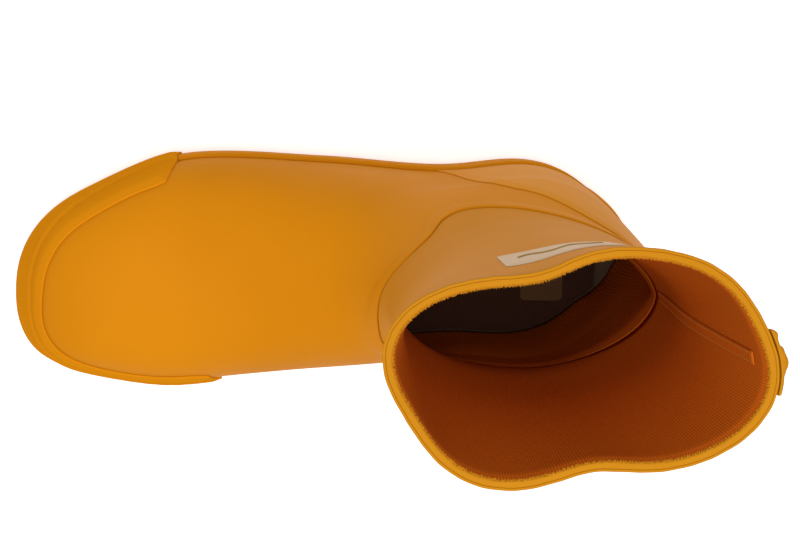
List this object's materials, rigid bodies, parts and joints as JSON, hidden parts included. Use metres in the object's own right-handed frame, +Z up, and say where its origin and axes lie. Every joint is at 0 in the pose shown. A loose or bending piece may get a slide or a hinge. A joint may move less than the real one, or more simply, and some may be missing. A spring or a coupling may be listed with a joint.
{
  "type": "deck boot",
  "caption": "Short slip-on rubber deck boot for the right foot, with a knitted lining, toe cap, heel patch, rolled rim and a loose footbed.",
  "frame": {"origin": "middle of the underside, on the plane that the tread stands on", "axes": "+X towards the toe, +Y towards the inner side of the foot, +Z up"},
  "size_m": [0.304, 0.1114, 0.255],
  "materials": {
    "rubber": "smooth semi-matt natural rubber",
    "tread": "matt non-marking rubber",
    "lining": "ribbed knit",
    "felt": "pressed fibre",
    "board": "pressed fibreboard",
    "steel": "plain",
    "foam": "open foam",
    "label": "woven",
    "badge": "smooth",
    "gold": "satin"
  },
  "bodies": {
    "boot": {"outsole": "tread", "heel_filler": "felt", "forefoot_filler": "felt", "shank": "steel", "insole_board": "board", "vamp": "rubber", "leg": "rubber", "heel_counter": "rubber", "toe_cap": "rubber", "foxing_band": "rubber", "back_stay": "rubber", "collar_bead": "rubber", "heel_stiffener": "felt", "toe_puff": "felt", "ankle_patch_outer": "felt", "ankle_patch_inner": "felt", "foot_lining": "lining", "leg_lining": "lining", "lining_tape": "lining", "badge_plate": "badge", "badge_wave": "gold"},
    "footbed": {"footbed": "foam", "footbed_cloth": "lining", "footbed_label": "label"}
  },
  "joints": [
    {"name": "footbed_lift", "type": "hinge", "parent": "boot", "child": "footbed", "pos_m": [0.13885, -0.00606, 0.019], "axis": [0, 1, 0], "range_deg": [0, 6]}
  ]
}
